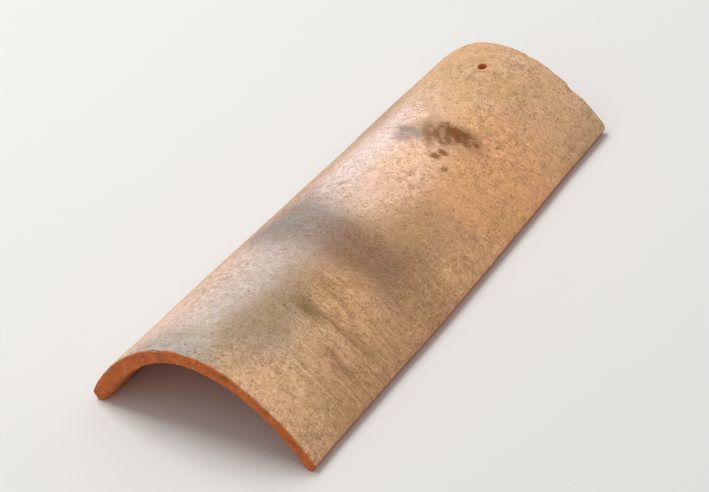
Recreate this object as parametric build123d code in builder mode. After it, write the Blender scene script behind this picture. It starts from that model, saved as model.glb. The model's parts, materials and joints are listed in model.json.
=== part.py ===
from build123d import *

import os
from math import cos, radians, sin

# Tapered barrel roof tile, moulded and fired in one piece: wide at the nose and narrower at
# the head, so that a head slips in under a nose of the same size. It lies hollow side down on
# its two long edges, with its nose at -Y, its head at +Y and +Z up. The origin is the middle
# of its footprint on the floor. Sizes are in millimetres.

# Overall size
tile_length = 419.0
nose_width = 203.0
head_width = 165.0
nose_height = 76.0
head_height = 62.5
wall = 14.0

# Section: a round crown that runs on into flatter legs, measured from the top of the crown
crown_half_angle = 31.0  # to where each leg starts
foot_angle = 60.0  # to the end of each leg

# Edges
foot_round = 4.5  # on both corners of each leg's foot
bed_press = 0.6  # how far the foot was flattened by the board it stood on while soft
end_bevel = 1.2  # rubbed off every edge of both cut ends

# Nail hole through the crown
nail_hole_diameter = 6.0
nail_hole_setback = 32.0  # from the head end

# A square corner of the foot stands this much beyond its rounded one, sideways and down
corner_overshoot = foot_round * (sin(radians(foot_angle)) + cos(radians(foot_angle)) - 1)

# Height of the foot's square outer corner. The inner one is lower by the slant of the wall,
# and once it is rounded its lowest line is pressed flat on the floor.
outer_corner_height = wall * cos(radians(foot_angle)) - corner_overshoot - bed_press

# The crown falls along a straight line from nose to head
crown_fall = (nose_height - head_height) / tile_length


def section_radii(width, height):
    """Outer radii of the crown and the leg that join smoothly and fill a width and height."""
    reach = width / 2 + corner_overshoot
    drop = height - outer_corner_height
    crown, foot = radians(crown_half_angle), radians(foot_angle)
    crown_reach, leg_reach = sin(crown), sin(foot) - sin(crown)
    crown_drop, leg_drop = 1 - cos(crown), cos(crown) - cos(foot)
    denominator = crown_reach * leg_drop - leg_reach * crown_drop
    crown_radius = (reach * leg_drop - drop * leg_reach) / denominator
    leg_radius = (drop * crown_reach - reach * crown_drop) / denominator
    return crown_radius, leg_radius


with BuildPart() as roof_tile:
    # One cut face at the nose and one at the head, with the same wall. The barrel narrows
    # evenly between them.
    for end_y, width, height in (
        (-tile_length / 2, nose_width, nose_height),
        (tile_length / 2, head_width, head_height),
    ):
        crown_radius, leg_radius = section_radii(width, height)
        leg_sweep = foot_angle - crown_half_angle
        with BuildSketch(Plane.XZ.offset(-end_y)):
            with BuildLine():
                crown = CenterArc(
                    center=(0, height - crown_radius),
                    radius=crown_radius,
                    start_angle=90 - crown_half_angle,
                    arc_size=2 * crown_half_angle,
                )
                JernArc(crown @ 1, crown % 1, leg_radius, leg_sweep)
                JernArc(crown @ 0, -(crown % 0), leg_radius, -leg_sweep)
                offset(amount=wall, side=Side.LEFT, closed=True)
            make_face()
            foot_corners = vertices().sort_by(Axis.Y)[:4]
            fillet(foot_corners, radius=foot_round)
    loft(ruled=True)

    # The wire that cut the soft clay left sharp edges at both ends, which were rubbed off
    cut_ends = faces().filter_by(Axis.Y)
    chamfer(cut_ends.edges(), length=end_bevel)

    # Both feet are pressed flat where the tile stood on its board
    split(bisect_by=Plane.XY, keep=Keep.TOP)

    # Nail hole on the crown line near the head, square to the crown's slope
    nail_plane = Plane(
        origin=(0, tile_length / 2 - nail_hole_setback, head_height + nail_hole_setback * crown_fall),
        x_dir=(1, 0, 0),
        z_dir=(0, crown_fall, 1),
    )
    with Locations(nail_plane):
        Hole(radius=nail_hole_diameter / 2, depth=2 * wall)

roof_tile.part.label = "roof_tile"
os.makedirs("parts", exist_ok=True)
export_step(roof_tile.part, "parts/roof_tile.step")

print("size", roof_tile.part.bounding_box().size, "volume", round(roof_tile.part.volume))
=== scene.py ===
import bmesh
import bpy
import json
from functools import partial
from math import cos, radians, sin
from mathutils import Matrix, Vector


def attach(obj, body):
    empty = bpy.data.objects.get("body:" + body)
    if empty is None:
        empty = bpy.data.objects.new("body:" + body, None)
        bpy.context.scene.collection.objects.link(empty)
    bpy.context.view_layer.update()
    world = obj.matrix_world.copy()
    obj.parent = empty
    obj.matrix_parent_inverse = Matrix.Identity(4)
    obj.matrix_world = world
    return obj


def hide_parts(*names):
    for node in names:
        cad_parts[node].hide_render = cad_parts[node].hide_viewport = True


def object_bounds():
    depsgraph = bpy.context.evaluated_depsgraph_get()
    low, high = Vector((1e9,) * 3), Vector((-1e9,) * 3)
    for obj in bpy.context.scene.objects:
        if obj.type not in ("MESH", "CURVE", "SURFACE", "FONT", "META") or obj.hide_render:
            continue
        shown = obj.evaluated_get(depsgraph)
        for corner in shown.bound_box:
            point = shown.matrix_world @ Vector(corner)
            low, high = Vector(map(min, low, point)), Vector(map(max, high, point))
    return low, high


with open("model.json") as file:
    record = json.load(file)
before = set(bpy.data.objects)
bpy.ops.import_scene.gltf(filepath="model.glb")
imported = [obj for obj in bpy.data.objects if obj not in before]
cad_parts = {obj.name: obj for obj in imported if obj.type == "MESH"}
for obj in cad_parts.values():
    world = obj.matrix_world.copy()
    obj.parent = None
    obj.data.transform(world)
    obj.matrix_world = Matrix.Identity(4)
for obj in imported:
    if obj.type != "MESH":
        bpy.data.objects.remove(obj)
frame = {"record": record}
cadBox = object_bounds()
record = frame["record"]
mm = 0.001
noseEnd, headEnd = cadBox[0].y, cadBox[1].y
touching = 0.01 * mm            # points closer than this are one


def say(stage):
    print("scene:", stage)


def startEditing(piece):
    bpy.ops.object.select_all(action="DESELECT")
    piece.select_set(True)
    bpy.context.view_layer.objects.active = piece
    bpy.ops.object.mode_set(mode="EDIT")


def stopEditing():
    bpy.ops.object.mode_set(mode="OBJECT")


def pick(kind, test):
    # edit mode: selects only the VERT, EDGE or FACE parts that pass the test
    bpy.ops.mesh.select_mode(type=kind)
    bpy.ops.mesh.select_all(action="DESELECT")
    mesh = bmesh.from_edit_mesh(bpy.context.object.data)
    for part in {"VERT": mesh.verts, "EDGE": mesh.edges, "FACE": mesh.faces}[kind]:
        if test(part):
            part.select_set(True)
    mesh.select_flush_mode()
    bmesh.update_edit_mesh(bpy.context.object.data)


def runsAlong(edge):
    # along the barrel, not round it
    return abs(edge.verts[0].co.y - edge.verts[1].co.y) > 2 * mm


def applyModifier(piece, kind, **settings):
    modifier = piece.modifiers.new(kind.title(), kind)
    for name, value in settings.items():
        setattr(modifier, name, value)
    bpy.context.view_layer.objects.active = piece
    bpy.ops.object.modifier_apply(modifier=modifier.name)


# The tile starts as the straight line of its crown. It is spun round into the arch, tapered
# and given its wall, and then bent, chipped and marked as soft clay is.
barrel = {
    "crownRadius": 88.4,        # outer arcs at the nose, in millimetres
    "legRadius": 164.1,
    "crownHalfAngle": 31,
    "footAngle": 60,
    "headAcross": 0.816,        # the head's section, as a share of the nose's, about the feet
    "headUp": 0.8105,
    "feetHeight": 4.75,         # where the outer face would end if the feet were square
    "wall": 14,
    "footRound": 4.5,
    "endRound": 1.2,
    "lipGrowth": (1.038, 1, 1.032),  # of the nose's inner edge, about the floor under it
    "axisHeight": -11,          # of the crown's own axis, half way along
    "crownSteps": 6,            # round half the crown
    "legSteps": 12,
    "lengthCuts": 55,
    "smoothLevels": 2,
    "sharpAngle": 60,           # edges sharper than this are rounded, in degrees
    "smoothAngle": 50,          # and blunter ones than this are shaded smooth
    "endReach": 2,              # what lies this near an end belongs to its edge
    "markedFrom": 6,            # the height from which the outer face is marked
}


def spinArch(size):
    # the crown line is what is left of a plane with one side taken off
    length = headEnd - noseEnd
    bpy.ops.object.select_all(action="DESELECT")
    bpy.ops.mesh.primitive_plane_add(size=length)
    piece = bpy.context.object
    piece.name = piece.data.name = "barrelTile"
    startEditing(piece)
    pick("VERT", lambda vert: vert.co.x > 0)
    bpy.ops.mesh.delete(type="VERT")
    bpy.ops.mesh.select_all(action="SELECT")
    crownTop = cadBox[1].z
    bpy.ops.transform.translate(value=(length / 2, 0, crownTop))

    # round half the crown, and then down the flatter leg
    crownSweep = radians(size["crownHalfAngle"])
    legSweep = radians(size["footAngle"]) - crownSweep
    crownRadius, legRadius = size["crownRadius"] * mm, size["legRadius"] * mm
    crownCentre = Vector((0, 0, crownTop - crownRadius))
    toJoint = Vector((sin(crownSweep), 0, cos(crownSweep)))
    legCentre = crownCentre + (crownRadius - legRadius) * toJoint
    for steps, sweep, centre in ((size["crownSteps"], crownSweep, crownCentre),
                                 (size["legSteps"], legSweep, legCentre)):
        bpy.ops.mesh.spin(steps=steps, angle=sweep, center=centre, axis=(0, -1, 0))
    bpy.ops.mesh.select_all(action="SELECT")
    bpy.ops.mesh.remove_doubles(threshold=touching)
    stopEditing()
    applyModifier(piece, "MIRROR", use_axis=(True, False, False), merge_threshold=touching)
    return piece


def taperArch(piece, size):
    startEditing(piece)
    pick("VERT", lambda vert: vert.co.y > 0)
    bpy.ops.transform.resize(value=(size["headAcross"], 1, size["headUp"]),
                             center_override=(0, 0, size["feetHeight"] * mm))
    pick("EDGE", runsAlong)
    bpy.ops.mesh.subdivide(number_cuts=size["lengthCuts"])
    bpy.ops.mesh.select_all(action="SELECT")
    bpy.ops.mesh.normals_make_consistent(inside=False)
    faces = bmesh.from_edit_mesh(piece.data).faces
    topFace = max(faces, key=lambda face: face.calc_center_median().z)
    if topFace.normal.z < 0:
        bpy.ops.mesh.flip_normals()
    stopEditing()


def giveWall(piece, size):
    # wallDepth is 1 on the outer face and 0 on the inner one: the slip follows it
    bpy.ops.geometry.attribute_add(name="wallDepth", domain="POINT", data_type="FLOAT")
    startEditing(piece)
    bpy.ops.mesh.select_all(action="SELECT")
    bpy.ops.mesh.attribute_set(value_float=1)
    stopEditing()
    piece.vertex_groups.new(name="inner")
    applyModifier(piece, "SOLIDIFY", thickness=size["wall"] * mm, offset=-1, use_even_offset=True,
                  shell_vertex_group="inner")
    startEditing(piece)
    bpy.ops.mesh.select_all(action="DESELECT")
    bpy.ops.object.vertex_group_select()
    bpy.ops.mesh.attribute_set(value_float=0)

    # the cutting wire leaves both ends flat: what the wall's slant moved goes back to them
    for endY in (noseEnd, headEnd):
        pick("VERT", lambda vert: abs(vert.co.y - endY) < size["endReach"] * mm)
        bpy.ops.transform.resize(value=(1, 0, 1), center_override=(0, endY, 0))

    # round feet, and then the rubbed edges of both ends
    def isSharp(edge):
        return edge.calc_face_angle(0) > radians(size["sharpAngle"])

    pick("EDGE", lambda edge: isSharp(edge) and runsAlong(edge))
    bpy.ops.mesh.bevel(offset=size["footRound"] * mm, segments=3, profile=0.5, affect="EDGES")
    pick("EDGE", lambda edge: isSharp(edge) and not runsAlong(edge))
    bpy.ops.mesh.bevel(offset=size["endRound"] * mm, segments=2, profile=0.5, affect="EDGES")
    stopEditing()


def thinLip(piece, size):
    # the nose was thumbed thinner from inside, so that it beds down close when it is laid
    startEditing(piece)
    bpy.ops.mesh.select_all(action="DESELECT")
    bpy.ops.object.vertex_group_set_active(group="noseLip")
    bpy.ops.object.vertex_group_select()
    bpy.ops.transform.resize(value=size["lipGrowth"], center_override=(0, noseEnd, 0))
    stopEditing()


# The arch was pushed about a little as it was lifted off its form: places, pushes and how far
# round each one is felt, in millimetres. The right foot swells outwards half way along.
handling = [
    {"at": (92, 10, 8), "push": (2.2, 0, 0), "reach": 190},
    {"at": (-91, 60, 8), "push": (0.9, 0, 0), "reach": 90},
    {"at": (20, -60, 68), "push": (0, 0, -0.7), "reach": 70},
    {"at": (-35, 95, 58), "push": (0.4, 0, -0.6), "reach": 60},
    {"at": (60, 140, 36), "push": (-0.6, 0, -0.3), "reach": 70},
    {"at": (-30, -205, 60), "push": (0, 0.9, -0.5), "reach": 45},
    {"at": (55, -208, 45), "push": (-0.4, 0.8, -0.3), "reach": 35},
    {"at": (10, 207, 50), "push": (0, -1.2, 0), "reach": 40},
    {"at": (-60, 207, 30), "push": (0, -0.7, 0), "reach": 30},
]


def pushByHand(piece, pushes):
    startEditing(piece)
    for touch in pushes:
        spot = Vector(touch["at"]) * mm
        verts = bmesh.from_edit_mesh(piece.data).verts
        nearest = min((vert.co - spot).length for vert in verts)
        pick("VERT", lambda vert: (vert.co - spot).length < nearest + touching)
        bpy.ops.transform.translate(value=Vector(touch["push"]) * mm, use_proportional_edit=True,
                                    proportional_edit_falloff="SMOOTH",
                                    proportional_size=touch["reach"] * mm)
    stopEditing()


# The nail hole was pushed through the soft clay, and both its rims were eased, so they flare.
nailHole = {
    "mount": next(mount for mount in record["mounts"] if mount["name"] == "nail_hole"),
    "sides": 32,
    "rim": 1.2,                 # how far each end flares, in millimetres
    "beyond": 4,                # how far the punch stands out of the wall
}


def punchNailHole(piece, hole):
    mount = hole["mount"]
    radius, length = mount["dims"]["r_mm"] * mm, mount["dims"]["length_mm"] * mm
    rim, beyond = hole["rim"] * mm, hole["beyond"] * mm
    flare = 1 + rim / radius
    axis = Vector(mount["axis"])
    bpy.ops.object.select_all(action="DESELECT")
    bpy.ops.mesh.primitive_cylinder_add(vertices=hole["sides"], radius=radius, depth=length)
    punch = bpy.context.object
    startEditing(punch)
    for side in (1, -1):
        pick("FACE", lambda face: face.normal.z * side > 0.9)
        bpy.ops.transform.translate(value=(0, 0, -side * rim))
        bpy.ops.mesh.extrude_region_move(TRANSFORM_OT_translate={"value": (0, 0, side * rim)})
        bpy.ops.transform.resize(value=(flare, flare, 1))
        bpy.ops.mesh.extrude_region_move(TRANSFORM_OT_translate={"value": (0, 0, side * beyond)})
    stopEditing()
    tilt = axis.to_track_quat("Z", "Y").to_matrix().to_4x4()
    punch.data.transform(Matrix.Translation(mount["pos_m"]) @ tilt)
    applyModifier(piece, "BOOLEAN", operation="DIFFERENCE", solver="EXACT", object=punch)
    bpy.data.objects.remove(punch)

    # slip ran just over the upper rim
    middle = Vector(mount["pos_m"])

    def heightIn(vert):
        return (vert.co - middle).dot(axis)

    def isInHole(vert):
        beside = (vert.co - middle - heightIn(vert) * axis).length
        return beside < radius + rim + 0.1 * mm

    startEditing(piece)
    pick("VERT", isInHole)
    bpy.ops.mesh.attribute_set(value_float=0.5)
    pick("VERT", lambda vert: isInHole(vert) and heightIn(vert) > (length - rim) / 2)
    bpy.ops.mesh.attribute_set(value_float=1)
    stopEditing()


# Marks in the clay. Each pattern has its grain along x, y and z and its height in
# millimetres, "keep" is the part of its range that marks at all, and "turn" takes its rows off
# the tile's own lines.
clayMarks = {
    "warp": {"grain": (85, 120, 85), "height": 1.6, "on": "all"},
    "fingers": {"grain": (26, 34, 26), "height": 0.55, "on": "all"},
    "wiping": {"grain": (70, 5.5, 70), "height": 0.2, "on": "outer"},
    "slipGrain": {"grain": (4.4, 4.4, 4.4), "height": 0.3, "on": "outer", "turn": (0.6, 0.4, 0.8)},
    "slipPits": {"grain": (7, 8, 7), "height": -0.75, "on": "outer", "keep": (0.66, 0.78),
                 "turn": (0.9, 0.3, 0.5)},
    "formSand": {"grain": (4.8, 4.8, 4.8), "height": 0.4, "on": "inner", "turn": (0.6, 0.4, 0.8)},
    "formDrag": {"grain": (6, 110, 6), "height": 0.5, "on": "inner"},
    "noseChips": {"grain": (7, 7, 7), "height": -2.2, "on": "noseEdge", "keep": (0.6, 0.72)},
    "noseWobble": {"grain": (22, 22, 22), "height": -0.9, "on": "noseEdge"},
    "headChips": {"grain": (13, 13, 13), "height": -1.7, "on": "headEdge", "keep": (0.56, 0.76)},
}


def groupVerts(piece, size):
    # the parts of the tile that the lip and the marks are kept to
    depth = piece.data.attributes["wallDepth"].data
    endReach = size["endReach"] * mm

    def isOuter(vert):
        return depth[vert.index].value > 0.5

    def isInner(vert):
        return depth[vert.index].value < 0.5

    tests = {
        "outer": lambda vert: isOuter(vert) and vert.co.z > size["markedFrom"] * mm,
        "inner": isInner,
        "noseEdge": lambda vert: isOuter(vert) and vert.co.y < noseEnd + endReach,
        "noseLip": lambda vert: isInner(vert) and vert.co.y < noseEnd + endReach,
        "headEdge": lambda vert: isOuter(vert) and vert.co.y > headEnd - endReach,
        "all": lambda vert: True,
    }
    piece.vertex_groups.clear()
    for name, test in tests.items():
        chosen = [vert.index for vert in piece.data.vertices if test(vert)]
        piece.vertex_groups.new(name=name).add(chosen, 1, "REPLACE")


def markClay(piece, marks):
    for name, mark in marks.items():
        texture = bpy.data.textures.new(name, "CLOUDS")
        texture.noise_scale = 1
        texture.noise_depth = 1
        texture.noise_basis = "IMPROVED_PERLIN"
        if "keep" in mark:
            texture.use_color_ramp = True
            first, last = texture.color_ramp.elements
            first.position, last.position = mark["keep"]
            first.color, last.color = (0, 0, 0, 1), (1, 1, 1, 1)
        grain = bpy.data.objects.new(name, None)
        bpy.context.scene.collection.objects.link(grain)
        grain.scale = Vector(mark["grain"]) * mm
        grain.rotation_euler = mark.get("turn", (0, 0, 0))
        bpy.context.view_layer.update()
        applyModifier(piece, "DISPLACE", texture=texture, texture_coords="OBJECT",
                      texture_coords_object=grain, strength=mark["height"] * mm,
                      mid_level=0 if "keep" in mark else 0.5, vertex_group=mark["on"])
        bpy.data.objects.remove(grain)


def standOnBoard(piece):
    # the feet are pressed flat, and the tile keeps the frame's length, width and height
    startEditing(piece)
    bpy.ops.mesh.select_all(action="SELECT")
    verts = bmesh.from_edit_mesh(piece.data).verts
    for axis in (0, 1, 2):
        low = min(vert.co[axis] for vert in verts)
        high = max(vert.co[axis] for vert in verts)
        share = [1, 1, 1]
        middle = [0, 0, 0]
        move = [0, 0, 0]
        if axis == 2:
            share[axis] = cadBox[1][axis] / high
        else:
            share[axis] = (cadBox[1][axis] - cadBox[0][axis]) / (high - low)
            middle[axis] = (low + high) / 2
            move[axis] = -middle[axis]
        bpy.ops.transform.resize(value=share, center_override=middle)
        bpy.ops.transform.translate(value=move)
    pick("VERT", lambda vert: vert.co.z < 0)
    bpy.ops.transform.resize(value=(1, 1, 0), center_override=(0, 0, 0))
    stopEditing()


tile = spinArch(barrel)
taperArch(tile, barrel)
giveWall(tile, barrel)
groupVerts(tile, barrel)
thinLip(tile, barrel)
pushByHand(tile, handling)
say(f"arch spun, tapered, walled, thinned at the lip and pushed: {len(tile.data.polygons)} faces")
levels = barrel["smoothLevels"]
applyModifier(tile, "SUBSURF", levels=levels, render_levels=levels)
punchNailHole(tile, nailHole)
markClay(tile, clayMarks)
standOnBoard(tile)
tile.vertex_groups.clear()
say(f"smoothed, punched and marked: {len(tile.data.polygons)} faces")


def finishPiece(piece, node, smoothAngle):
    bpy.ops.object.select_all(action="DESELECT")
    piece.select_set(True)
    bpy.context.view_layer.objects.active = piece
    bpy.ops.object.shade_smooth_by_angle(angle=radians(smoothAngle))
    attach(piece, "root")
    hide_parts(node)


finishPiece(tile, "roof_tile", barrel["smoothAngle"])


def linearColour(hexColour):
    # sRGB hex to the linear values that the sockets take
    values = []
    for start in (1, 3, 5):
        part = int(hexColour[start:start + 2], 16) / 255
        values.append(part / 12.92 if part <= 0.04045 else ((part + 0.055) / 1.055) ** 2.4)
    return (*values, 1)


def addNode(tree, kind, **settings):
    # names with a capital are sockets, with _ for a space; at0 and at1 are sockets by number
    node = tree.nodes.new("ShaderNode" + kind)
    for name, value in settings.items():
        if name[:2] == "at" and name[2:].isdigit():
            socket = node.inputs[int(name[2:])]
        elif name[0].isupper():
            label = name.replace("_", " ")
            socket = next(each for each in node.inputs if each.name == label and each.enabled)
        else:
            setattr(node, name, value)
            continue
        if isinstance(value, bpy.types.NodeSocket):
            tree.links.new(value, socket)
        else:
            socket.default_value = value
    return next((each for each in node.outputs if each.enabled), None)


# Terracotta: red-orange earthenware, fired without a glaze. Its outer face was wiped with a pale
# sanded slip and clouded with washes and smoke, so the eye gets a dull, gritty buff skin with soft
# clouds of grey, peach and cream, worn back to orange at the edges. The grey band across the
# crown is painted soft shadow. The cream near the head and the pale outer edges are partly
# painted highlight.
sandedSlip = {
    "buff": "#E6B788",
    "straw": "#D7A778",
    "cream": "#ECC9A6",
    "scuff": "#A36F4A",
    "rustGrain": ("#B0683F", 0.5),  # grains in the slip, and how strongly each kind shows
    "paleGrain": ("#F8E6D0", 0.22),
    "darkGrain": ("#80502E", 0.5),
    "grainTint": (0.85, 1, 1.3),  # dark grains are browner than pale ones: blue changes most
    "cloudGrain": 60,           # sizes of the patterns in millimetres
    "pushGrain": 40,
    "frayGrain": 9,
    "mottleGrain": 5,
    "mottleDepth": 0.15,        # depths are shares of the colour's brightness
    "sandGrain": 2,             # the real sand is 0.3 to 0.8: drawn coarser so that it shows
    "sandDepth": 0.22,
    "speckGrain": 1.7,
    "gritGrain": 0.8,
    "thickGrain": 30,
    "scuffGrain": 16,
    "scuffStrength": 0.38,
    "calmGrain": 35,
    "hueGrain": 26,
    "hueTurn": (-0.022, 0, -0.06),  # olive one way and rose the other
    "wipeGrain": (60, 2.4, 60),
    "wipeWander": (0, 7, 0),
    "wipeDepth": 0.5,
    "strokeGrain": (8, 1.5, 8),
    "strokeTurn": 16,
    "strokeDepth": 0.26,
    "wipeZone": ((92, -112), (90, 110), 0, None, 1, 14, 4, 1),  # a cloud without a colour
    "cloudFade": (0, 0.8),      # where clouds start and are full: 0 is their rim, 1 their middle
    "soilFade": (0.02, 0.78),
    "chipGrain": 5,
    "lapFray": 0.22,            # of the wall's thickness, where the slip laps over an edge
    "endWear": 1.4,             # how far in from the ends and up from the feet the slip is worn
    "footWear": 4,
    "sandBump": (1, 1.2, False),  # strength, height in millimetres and whether it goes inwards
    "gritBump": (0.7, 0.6, False),
    "lineBump": (0.5, 0.4, False),
    "pitBump": (0.45, 0.4, True),
    "roughness": (0.8, 0.96),
    "sheen": (0.05, 0.6),       # how strong and how rough
}
# Clouds laid on the outer face unrolled flat. Each has its middle and half sizes, as
# round the barrel from the crown and along it, its turn in degrees, colour and strength, how far
# broad and fine noise push its edge about, and how far sand breaks it up. Lengths in millimetres.
clouds = {
    # cream slip, made paler where light falls on the crown: partly a painted highlight
    "creamAndHighlightHead": ((-34, 46), (78, 124), 8, "#F8DDD2", 1, 14, 3, 1),
    "peachHead": ((92, 84), (118, 120), 0, "#F8B47C", 0.9, 20, 4, 1),
    "tanMiddle": ((74, -2), (74, 54), 4, "#CC9C6E", 0.85, 16, 4, 1),
    # pink blush, pushed paler to stand in for light: partly a painted highlight
    "blushAndHighlightHead": ((18, 48), (42, 96), 0, "#FFD0AC", 0.9, 10, 4, 1),
    "lilacCrown": ((-14, -125), (84, 210), 3, "#D5C2B7", 0.95, 14, 3, 1),
    "creamLeft": ((-68, -140), (60, 150), 0, "#E6C6B0", 0.9, 16, 3, 1),
    "greySeam": ((27, -150), (38, 176), -3, "#B09370", 0.9, 14, 3, 1),
    "ochreMid": ((62, -84), (56, 40), 0, "#DEA974", 0.75, 14, 5, 1),
    # the next three clouds are one band of painted soft shadow across the crown, cool grey at the
    # left and browner to the right
    "paintedShadowTail": ((100, -42), (90, 50), 0, "#B28761", 0.85, 16, 4, 1),
    "paintedShadowBand": ((34, -44), (94, 35), 0, "#9F7656", 1, 12, 4, 0.7),
    "paintedShadowLeft": ((-62, -34), (116, 56), -12, "#9A8F88", 1, 12, 4, 0.7),
    "tanRight": ((128, -110), (60, 220), 0, "#D8A473", 0.9, 18, 4, 1),
    "goldNose": ((76, -202), (78, 54), 0, "#F4C290", 0.8, 16, 4, 1),
    "slateNose": ((-24, -204), (58, 34), 0, "#B3A99D", 0.8, 12, 4, 1),
    "thumbTurn": ((58, -75), (20, 5), 42, "#B8884F", 0.6, 5, 4, 1),
    "thumbArc": ((53, -91), (24, 5), -6, "#B08252", 0.6, 6, 4, 1),
    "wipeBlot": ((46, -115), (24, 10), -4, "#937240", 0.9, 6, 5, 1.3),
    "wipeTail": ((82, -110), (44, 6), 3, "#A6764A", 0.65, 7, 3, 1.2),
    "wipeEnd": ((90, -134), (26, 6), 0, "#A87A50", 0.65, 7, 4, 1.2),
    "peachBack": ((-124, -60), (84, 250), 0, "#EBB387", 0.8, 28, 8, 1.2),
    "smokeBack": ((-100, 116), (76, 96), 8, "#AE9078", 0.7, 30, 9, 1.6),
    "tanLimb": ((-80, 52), (54, 120), 4, "#D0A88C", 0.85, 18, 6, 1),
    "tanFoot": ((113, 16), (28, 48), 0, "#F0B984", 0.85, 12, 4, 1),
}
# Wet soil dried on near the head, in smaller marks that the sand breaks up more.
soil = {
    "soilWash": ((24, 95), (50, 23), 10, "#AC8459", 0.5, 10, 9, 3),
    "soilLeft": ((-6, 85), (25, 9), -10, "#918A7C", 0.8, 6, 7, 3),
    "soilTrail": ((-7, 75), (19, 7), -12, "#AC9087", 0.8, 6, 5, 3),
    "soilPale": ((6, 96), (18, 14), 0, "#B89B78", 0.6, 8, 8, 3),
    "soilDrip": ((14, 86), (24, 8), -48, "#A17A54", 0.8, 5, 5, 3),
    "soilMiddle": ((26, 96), (28, 14), 24, "#8C602F", 1, 8, 9, 3.5),
    "soilStreak": ((37, 102), (32, 10.5), 3, "#864A0E", 1, 7, 8, 3),
    "spotOne": ((35.5, 78), (8, 5.5), -20, "#9C6032", 1, 3, 6, 2.5),
    "spotTwo": ((32.5, 70), (8, 5), 12, "#A76E42", 1, 3, 6, 2.5),
    "spotThree": ((46, 65), (5, 4), 40, "#A47444", 0.9, 2, 3, 2),
}
# The bare body shows at the cut ends, the feet, the nail hole and the underside.
bareClay = {
    "orange": "#DA6A18",
    "burnt": "#AC4C18",
    "edgeWearAndHighlight": "#DC8448",         # the outer edges, rubbed pale, and partly a painted highlight where they catch the light
    "dust": "#D08C58",
    "edgeWearAndHighlightStrength": 0.6,
    "grog": "#DDB592",
    "grogRarity": 0.9,
    "grogStrength": 0.4,
    "grainTint": (0.7, 0.9, 1.2),
    "underDust": 0.5,           # how much dust lies on the underside, and on the cut ends
    "endDust": 0.14,
    "toneGrain": 12,
    "grogGrain": 1.7,
    "cutGrain": (1.4, 40, 22),  # the wire's drag across the cut ends
    "cutTurn": 24,
    "dragGrain": (6, 90, 6),    # the form's drag along the underside
}
# The patterns are turned off the tile's own lines, in radians, so that no rows show in them.
# Each 4D noise has a W of its own, so that no two are alike.
patternTurn = (0.7, 0.5, 0.9)


def fromEnds(add, axes):
    # how far in from the nearer end
    return add("Math", operation="SUBTRACT", at0=headEnd / mm,
               at1=add("Math", operation="ABSOLUTE", at0=axes["Y"]))


def unroll(add, axes):
    # the outer face laid flat: x round the barrel from the crown, y along it
    up = add("Math", operation="SUBTRACT", at0=axes["Z"], at1=barrel["axisHeight"])
    turn = add("Math", operation="ARCTAN2", at0=axes["X"], at1=up)
    across = add("Math", operation="MULTIPLY", at0=turn, at1=barrel["crownRadius"])
    return add("CombineXYZ", X=across, Y=axes["Y"])


def cloudMask(add, skin, push, fray, grit, cloud, fade):
    # the cloud's strength at its middle, fading to 0 near its half sizes with a sandy edge
    middle, half, turn, _, strength, ragged, frayed, broken = cloud
    pushed = skin
    for noise, reach in ((push, ragged), (fray, frayed)):
        pushed = add("VectorMath", operation="MULTIPLY_ADD",
                     at0=noise, at1=(reach, reach, 0), at2=pushed)
    local = add("Mapping", vector_type="TEXTURE", Vector=pushed, Location=(*middle, 0),
                Rotation=(0, 0, radians(turn)), Scale=(*half, 1))
    ball = add("TexGradient", gradient_type="SPHERICAL", Vector=local).node.outputs["Fac"]
    breaks = add("Math", operation="POWER", at0=grit, at1=broken)
    gritty = add("Math", operation="MULTIPLY", at0=ball, at1=breaks)
    return add("MapRange", interpolation_type="SMOOTHSTEP", Value=gritty, From_Min=fade[0],
               From_Max=fade[1], To_Max=strength)


def sandGrains(add, place, slip):
    # blotches and grains, and how much they darken or lighten what they lie on
    mottle = add("TexNoise", noise_dimensions="4D", Vector=place, W=3, Detail=4, Roughness=0.6,
                 Scale=1 / slip["mottleGrain"])
    sand = add("TexNoise", noise_dimensions="4D", Vector=place, W=4, Detail=3, Roughness=0.75,
               Scale=1 / slip["sandGrain"])
    calm = add("TexNoise", noise_dimensions="4D", Vector=place, W=15, Detail=3,
               Scale=1 / slip["calmGrain"])
    blotches = add("MapRange", Value=mottle, From_Min=0.36, From_Max=0.64,
                   To_Min=-slip["mottleDepth"], To_Max=slip["mottleDepth"])
    grains = add("MapRange", Value=sand, From_Min=0.34, From_Max=0.66,
                 To_Min=-slip["sandDepth"], To_Max=slip["sandDepth"])
    shade = add("Math", operation="ADD", at0=blotches, at1=grains)
    calm = add("MapRange", Value=calm, From_Min=0.38, From_Max=0.62, To_Min=0.7, To_Max=1.3)
    return mottle, sand, add("Math", operation="MULTIPLY", at0=shade, at1=calm)


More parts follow.
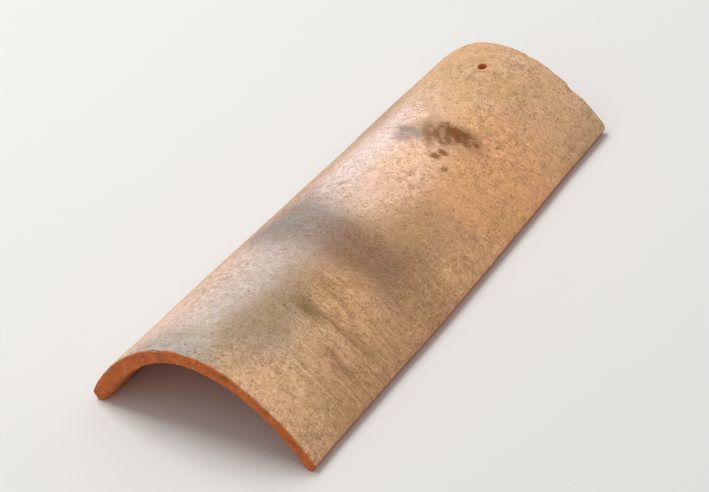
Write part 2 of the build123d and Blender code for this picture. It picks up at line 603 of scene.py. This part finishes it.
def slipLayer(add, place, skin, mottle, sand, shade, slip):
    # the slip's colour, its wiped lines and its pits
    broad = add("TexNoise", noise_dimensions="4D", Vector=place, W=1, Detail=4,
                Scale=1 / slip["cloudGrain"])
    washed = add("TexNoise", noise_dimensions="4D", Vector=place, W=2, Detail=5,
                 Scale=2 / slip["cloudGrain"])
    colour = add("Mix", data_type="RGBA",
                 A=linearColour(slip["buff"]), B=linearColour(slip["straw"]),
                 Factor=add("MapRange", Value=broad, From_Min=0.4, From_Max=0.7, To_Max=0.8))
    colour = add("Mix", data_type="RGBA", A=colour, B=linearColour(slip["cream"]),
                 Factor=add("MapRange", Value=washed, From_Min=0.45, From_Max=0.7, To_Max=0.5))

    # clouds and washes, whose edges two noises from -1 to 1 push about
    pushes = []
    for seed, grain, detail in ((5, "pushGrain", 5), (14, "frayGrain", 3)):
        noise = add("TexNoise", noise_dimensions="4D", Vector=place, W=seed, Detail=detail,
                    Scale=1 / slip[grain]).node.outputs["Color"]
        centred = add("VectorMath", operation="SUBTRACT", at0=noise, at1=(0.5, 0.5, 0.5))
        pushes.append(add("VectorMath", operation="SCALE", at0=centred, Scale=2))
    push, fray = pushes
    speckled = add("Mix", data_type="FLOAT", Factor=0.4, A=mottle, B=sand)
    grit = add("MapRange", Value=speckled, From_Min=0.3, From_Max=0.7, To_Min=0.6, To_Max=1.4)
    for laid, fade in ((clouds, slip["cloudFade"]), (soil, slip["soilFade"])):
        for cloud in laid.values():
            colour = add("Mix", data_type="RGBA", A=colour, B=linearColour(cloud[3]),
                         Factor=cloudMask(add, skin, push, fray, grit, cloud, fade))

    # wiped lines run round the barrel and wander, stronger in some places
    wander = add("VectorMath", operation="MULTIPLY_ADD", at0=push, at1=slip["wipeWander"], at2=skin)
    stretched = add("Mapping", vector_type="TEXTURE", Vector=wander, Scale=slip["wipeGrain"])
    wipe = add("TexNoise", Vector=stretched, Scale=1, Detail=3, Roughness=0.6)
    zone = cloudMask(add, skin, push, fray, grit, slip["wipeZone"], slip["cloudFade"])
    zone = add("Math", operation="MAXIMUM", at0=zone, at1=add(
        "MapRange", Value=washed, From_Min=0.42, From_Max=0.62, To_Min=0.1, To_Max=0.5))
    lines = add("MapRange", Value=wipe, From_Min=0.3, From_Max=0.7, To_Min=-slip["wipeDepth"] / 2,
                To_Max=slip["wipeDepth"] / 2)
    shade = add("Math", operation="MULTIPLY_ADD", at0=zone, at1=lines, at2=shade)

    # short dark strokes of the cloth cross them at a slant
    slanted = add("Mapping", vector_type="TEXTURE", Vector=wander, Scale=slip["strokeGrain"],
                  Rotation=(0, 0, radians(slip["strokeTurn"])))
    strokes = add("TexNoise", Vector=slanted, Scale=1, Detail=2, Roughness=0.55)
    strokes = add("MapRange", Value=strokes, From_Min=0.48, From_Max=0.7, To_Min=0.04,
                  To_Max=-slip["strokeDepth"])
    zone = add("MapRange", Value=zone, To_Min=0.35, To_Max=1.2)
    shade = add("Math", operation="MULTIPLY_ADD", at0=zone, at1=strokes, at2=shade)

    # all that darkens or lightens the slip, and its slow drift in hue
    tint = add("VectorMath", operation="MULTIPLY_ADD",
               at0=shade, at1=slip["grainTint"], at2=(1, 1, 1))
    hue = add("TexNoise", noise_dimensions="4D", Vector=place, W=16, Detail=3,
              Scale=1 / slip["hueGrain"])
    hue = add("MapRange", Value=hue, From_Min=0.36, From_Max=0.64, To_Min=-1)
    tint = add("VectorMath", operation="MULTIPLY_ADD", at0=hue, at1=slip["hueTurn"], at2=tint)
    colour = add("VectorMath", operation="MULTIPLY", at0=colour, at1=tint)

    # thin curling scuffs where grit was dragged under the wiping cloth
    curl = add("TexNoise", noise_dimensions="4D", Vector=place, W=10, Detail=3,
               Scale=1 / slip["scuffGrain"])
    curl = add("Math", operation="SUBTRACT", at0=curl, at1=0.5)
    beside = add("Math", operation="ABSOLUTE", at0=curl)
    thin = add("MapRange", Value=beside, From_Min=0.045, From_Max=0, To_Max=slip["scuffStrength"])
    scuffed = add("MapRange", Value=broad, From_Min=0.45, From_Max=0.6)
    scuff = add("Math", operation="MULTIPLY", at0=thin, at1=scuffed)
    colour = add("Mix", data_type="RGBA", A=colour, B=linearColour(slip["scuff"]), Factor=scuff)

    # sand in the slip lies thick in some places and thin in others
    thick = add("TexNoise", noise_dimensions="4D", Vector=place, W=6, Detail=4, Roughness=0.6,
                Scale=1 / slip["thickGrain"])
    rarest = add("MapRange", Value=thick, From_Min=0.35, From_Max=0.65, To_Min=0.97, To_Max=0.82)
    cells = add("TexVoronoi", Vector=place, Scale=1 / slip["speckGrain"]).node.outputs
    lot = add("SeparateColor", Color=cells["Color"]).node.outputs
    uneven = add("Math", operation="MULTIPLY_ADD", at0=sand, at1=1.2, at2=cells["Distance"])
    whole = add("MapRange", Value=uneven, From_Min=1.05, From_Max=0.85)
    for part, kind in enumerate(("rustGrain", "paleGrain", "darkGrain")):
        tint, amount = slip[kind]
        chosen = add("Math", operation="GREATER_THAN", at0=lot[part], at1=rarest)
        grains = add("Math", operation="MULTIPLY", at0=chosen, at1=whole)
        colour = add("Mix", data_type="RGBA", A=colour, B=linearColour(tint),
                     Factor=add("Math", operation="MULTIPLY", at0=grains, at1=amount))
    pits = grains               # the last ones, the dark ones, are where grains fell out
    return colour, wipe, pits


def clayLayer(add, place, loose, inFromEnd, shade, clay):
    # the bare body's colour and its drag lines
    tone = add("TexNoise", noise_dimensions="4D", Vector=loose, W=11, Detail=5, Roughness=0.65,
               Scale=1 / clay["toneGrain"])
    colour = add("Mix", data_type="RGBA",
                 A=linearColour(clay["orange"]), B=linearColour(clay["burnt"]),
                 Factor=add("MapRange", Value=tone, From_Min=0.4, From_Max=0.72, To_Max=0.85))

    # dust and pale drag lines along the underside, and the wire's drag on the ends
    dragPlace = add("Mapping", vector_type="TEXTURE", Vector=place, Scale=clay["dragGrain"])
    drag = add("TexNoise", Vector=dragPlace, Scale=1, Detail=4, Roughness=0.6)
    cutPlace = add("Mapping", vector_type="TEXTURE", Vector=place, Scale=clay["cutGrain"],
                   Rotation=(0, radians(clay["cutTurn"]), 0))
    cut = add("TexNoise", Vector=cutPlace, Scale=1, Detail=3, Roughness=0.6)
    onEnd = add("MapRange", Value=inFromEnd, From_Min=3, From_Max=1)
    streaks = add("Mix", data_type="FLOAT", Factor=onEnd, A=drag, B=cut)
    dusty = add("Mix", data_type="FLOAT", Factor=onEnd, A=clay["underDust"], B=clay["endDust"])
    dusty = add("Math", operation="MULTIPLY", at0=dusty, at1=add(
        "MapRange", Value=streaks, From_Min=0.4, From_Max=0.66))
    colour = add("Mix", data_type="RGBA", A=colour, B=linearColour(clay["dust"]), Factor=dusty)

    # crushed fired clay in the body
    cells = add("TexVoronoi", Vector=loose, Scale=1 / clay["grogGrain"]).node.outputs
    lot = add("SeparateColor", Color=cells["Color"]).node.outputs
    grain = add("MapRange", Value=cells["Distance"], From_Min=0.55, From_Max=0.3)
    for part, tint in enumerate((clay["grog"], clay["burnt"])):
        chosen = add("Math", operation="GREATER_THAN", at0=lot[part], at1=clay["grogRarity"])
        chosen = add("Math", operation="MULTIPLY", at0=chosen, at1=grain)
        colour = add("Mix", data_type="RGBA", A=colour, B=linearColour(tint),
                     Factor=add("Math", operation="MULTIPLY", at0=chosen, at1=clay["grogStrength"]))
    tint = add("VectorMath", operation="MULTIPLY_ADD",
               at0=shade, at1=clay["grainTint"], at2=(1, 1, 1))
    return add("VectorMath", operation="MULTIPLY", at0=colour, at1=tint), streaks


def slipCover(add, place, inFromEnd, height, slip):
    # 1 where slip covers the clay: the outer face, a little way over its edges, less the wear
    depth = add("Attribute", attribute_name="wallDepth").node.outputs["Fac"]
    chip = add("TexNoise", noise_dimensions="4D", Vector=place, W=12, Detail=5, Roughness=0.65,
               Scale=1 / slip["chipGrain"])
    lap = add("Math", operation="MULTIPLY_ADD", at0=chip, at1=slip["lapFray"], at2=depth)
    cover = add("MapRange", Value=lap, From_Min=0.98, From_Max=1.06)
    for distance, wear, blur in ((inFromEnd, slip["endWear"], 1), (height, slip["footWear"], 2)):
        left = add("Math", operation="MULTIPLY_ADD", at0=chip, at1=-2 * wear, at2=distance)
        kept = add("MapRange", Value=left, From_Min=-blur / 2, From_Max=blur / 2)
        cover = add("Math", operation="MULTIPLY", at0=cover, at1=kept)
    # the outer edges are rubbed pale just inside the slip; this pale rim is partly a painted
    # highlight
    edgeWearAndHighlight = add("MapRange", Value=depth, From_Min=0.92, From_Max=1)
    return cover, edgeWearAndHighlight


def makeTerracotta():
    material = bpy.data.materials.new("sandedTerracotta")
    material.use_nodes = True
    tree = material.node_tree
    tree.nodes.clear()
    add = partial(addNode, tree)
    objectPlace = add("TexCoord").node.outputs["Object"]
    place = add("VectorMath", operation="SCALE", at0=objectPlace, Scale=1 / mm)
    axes = add("SeparateXYZ", Vector=place).node.outputs
    loose = add("Mapping", Vector=place, Rotation=patternTurn)
    mottle, sand, shade = sandGrains(add, loose, sandedSlip)
    slip, wipe, pits = slipLayer(add, loose, unroll(add, axes), mottle, sand, shade, sandedSlip)
    inFromEnd = fromEnds(add, axes)
    clay, streaks = clayLayer(add, place, loose, inFromEnd, shade, bareClay)
    cover, edgeWearAndHighlight = slipCover(add, loose, inFromEnd, axes["Z"], sandedSlip)
    # the pale rim on the bare clay's outer edges: rubbed wear and a painted highlight along the lit
    # edges
    clay = add("Mix", data_type="RGBA", A=clay, B=linearColour(bareClay["edgeWearAndHighlight"]),
               Factor=add("Math", operation="MULTIPLY", at0=edgeWearAndHighlight, at1=bareClay["edgeWearAndHighlightStrength"]))
    colour = add("Mix", data_type="RGBA", Factor=cover, A=clay, B=slip)

    # relief finer than the mesh: sand, a tighter grit, wiped or dragged lines and pits
    lines = add("Mix", data_type="FLOAT", Factor=cover, A=streaks, B=wipe)
    grit = add("TexNoise", noise_dimensions="4D", Vector=loose, W=13, Detail=3, Roughness=0.7,
               Scale=1 / sandedSlip["gritGrain"])
    pits = add("Math", operation="MULTIPLY", at0=pits, at1=cover)
    below = {}
    for bump, height in (("sandBump", sand), ("gritBump", grit),
                         ("lineBump", lines), ("pitBump", pits)):
        strength, rise, inwards = sandedSlip[bump]
        relief = add("Bump", Strength=strength, Distance=rise * mm, Height=height,
                     invert=inwards, **below)
        below = {"Normal": relief}
    smoothest, roughest = sandedSlip["roughness"]
    roughness = add("MapRange", Value=mottle, From_Min=0.3, From_Max=0.7, To_Min=smoothest,
                    To_Max=roughest)
    sheen, sheenRoughness = sandedSlip["sheen"]
    shader = add("BsdfPrincipled", Base_Color=colour, Roughness=roughness, IOR=1.5, Normal=relief,
                 Sheen_Weight=sheen, Sheen_Roughness=sheenRoughness)
    add("OutputMaterial", Surface=shader)
    return material


tile.data.materials.clear()
tile.data.materials.append(makeTerracotta())
say("terracotta made")


# Plain pale floor, one large soft lamp at the upper left of the photograph's view, and an even
# sky. Lengths are in metres here, and the lamp's power in watts.
studio = {
    "floorSize": 8,
    "floorGap": 0.2 * mm,
    "floorColour": "#E6E4E1",
    "floorRoughness": 0.9,
    "skyStrength": 0.5,
    "lampToward": (-0.42, 0.1, 0.9),
    "lampAway": 2.6,
    "lampSize": 1.4,
    "lampPower": 44,
}
photoView = {
    "from": (1.879, -2.052, 2.158),
    "aim": (0.004, -0.012, 0.03),
    "roll": -12.4,
    "lens": 238,
}


def setStudio(room):
    scene = bpy.context.scene
    scene.view_settings.view_transform = "Standard"
    bpy.ops.object.select_all(action="DESELECT")
    bpy.ops.mesh.primitive_plane_add(size=room["floorSize"], location=(0, 0, -room["floorGap"]))
    floor = bpy.context.object
    floor.name = "floor"
    paper = bpy.data.materials.new("palePaper")
    paper.use_nodes = True
    shader = paper.node_tree.nodes["Principled BSDF"]
    shader.inputs["Base Color"].default_value = linearColour(room["floorColour"])
    shader.inputs["Roughness"].default_value = room["floorRoughness"]
    floor.data.materials.append(paper)

    world = bpy.data.worlds.new("sky")
    world.use_nodes = True
    background = world.node_tree.nodes["Background"]
    background.inputs["Color"].default_value = (1, 1, 1, 1)
    background.inputs["Strength"].default_value = room["skyStrength"]
    scene.world = world

    toward = Vector(room["lampToward"]).normalized()
    bpy.ops.object.light_add(type="AREA", location=toward * room["lampAway"],
                             rotation=(-toward).to_track_quat("-Z", "Y").to_euler())
    lamp = bpy.context.object
    lamp.data.size = room["lampSize"]
    lamp.data.energy = room["lampPower"]


def setCamera(view):
    bpy.ops.object.camera_add(location=view["from"])
    camera = bpy.context.object
    sight = Vector(view["aim"]) - Vector(view["from"])
    turn = Matrix.Rotation(radians(view["roll"]), 4, "Z")
    camera.rotation_euler = (sight.to_track_quat("-Z", "Y").to_matrix().to_4x4() @ turn).to_euler()
    camera.data.lens = view["lens"]
    bpy.context.scene.camera = camera


setStudio(studio)
setCamera(photoView)
say("studio and camera set")
